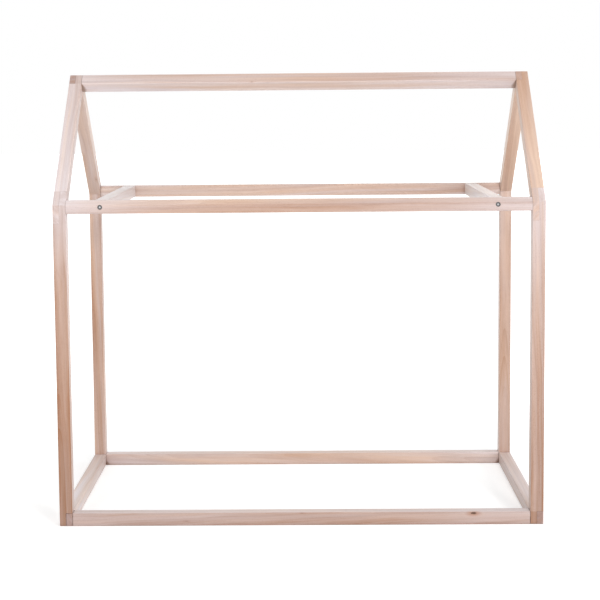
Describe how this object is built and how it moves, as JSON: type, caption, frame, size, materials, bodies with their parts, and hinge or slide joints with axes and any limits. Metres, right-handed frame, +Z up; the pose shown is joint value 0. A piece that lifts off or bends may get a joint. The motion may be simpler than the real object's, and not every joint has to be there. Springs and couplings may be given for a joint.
{
  "type": "house frame bed",
  "caption": "Child's floor bed frame shaped like an open house: half-lapped gable frames of square beech bars, joined by a ridge beam, eave rails, bottom rails and cross beams.",
  "frame": {"origin": "on the floor, in the middle of the bed's outline", "axes": "+X along the ridge beam, +Y from the front to the back, +Z up"},
  "size_m": [1.5, 0.8, 1.3992],
  "materials": {
    "beech": "untreated, finely planed and sanded beech",
    "dowel_wood": "plain beech dowel, untreated",
    "bolt_steel": "dark burnished steel, worn bright in the hexagon socket",
    "nut_steel": "zinc-plated steel"
  },
  "bodies": {
    "root": {"ridge_beam": "beech", "front_eave_rail": "beech", "back_eave_rail": "beech", "front_bottom_rail": "beech", "back_bottom_rail": "beech", "left_front_post": "beech", "left_back_post": "beech", "left_front_rafter": "beech", "left_back_rafter": "beech", "left_side_rail": "beech", "left_cross_beam": "beech", "right_front_post": "beech", "right_back_post": "beech", "right_front_rafter": "beech", "right_back_rafter": "beech", "right_side_rail": "beech", "right_cross_beam": "beech", "left_gable_bolts": "bolt_steel", "left_gable_barrel_nuts": "nut_steel", "left_gable_dowels": "dowel_wood", "left_cross_beam_bolts": "bolt_steel", "left_cross_beam_barrel_nuts": "nut_steel", "left_cross_beam_dowels": "dowel_wood", "right_gable_bolts": "bolt_steel", "right_gable_barrel_nuts": "nut_steel", "right_gable_dowels": "dowel_wood", "right_cross_beam_bolts": "bolt_steel", "right_cross_beam_barrel_nuts": "nut_steel", "right_cross_beam_dowels": "dowel_wood"}
  },
  "joints": []
}
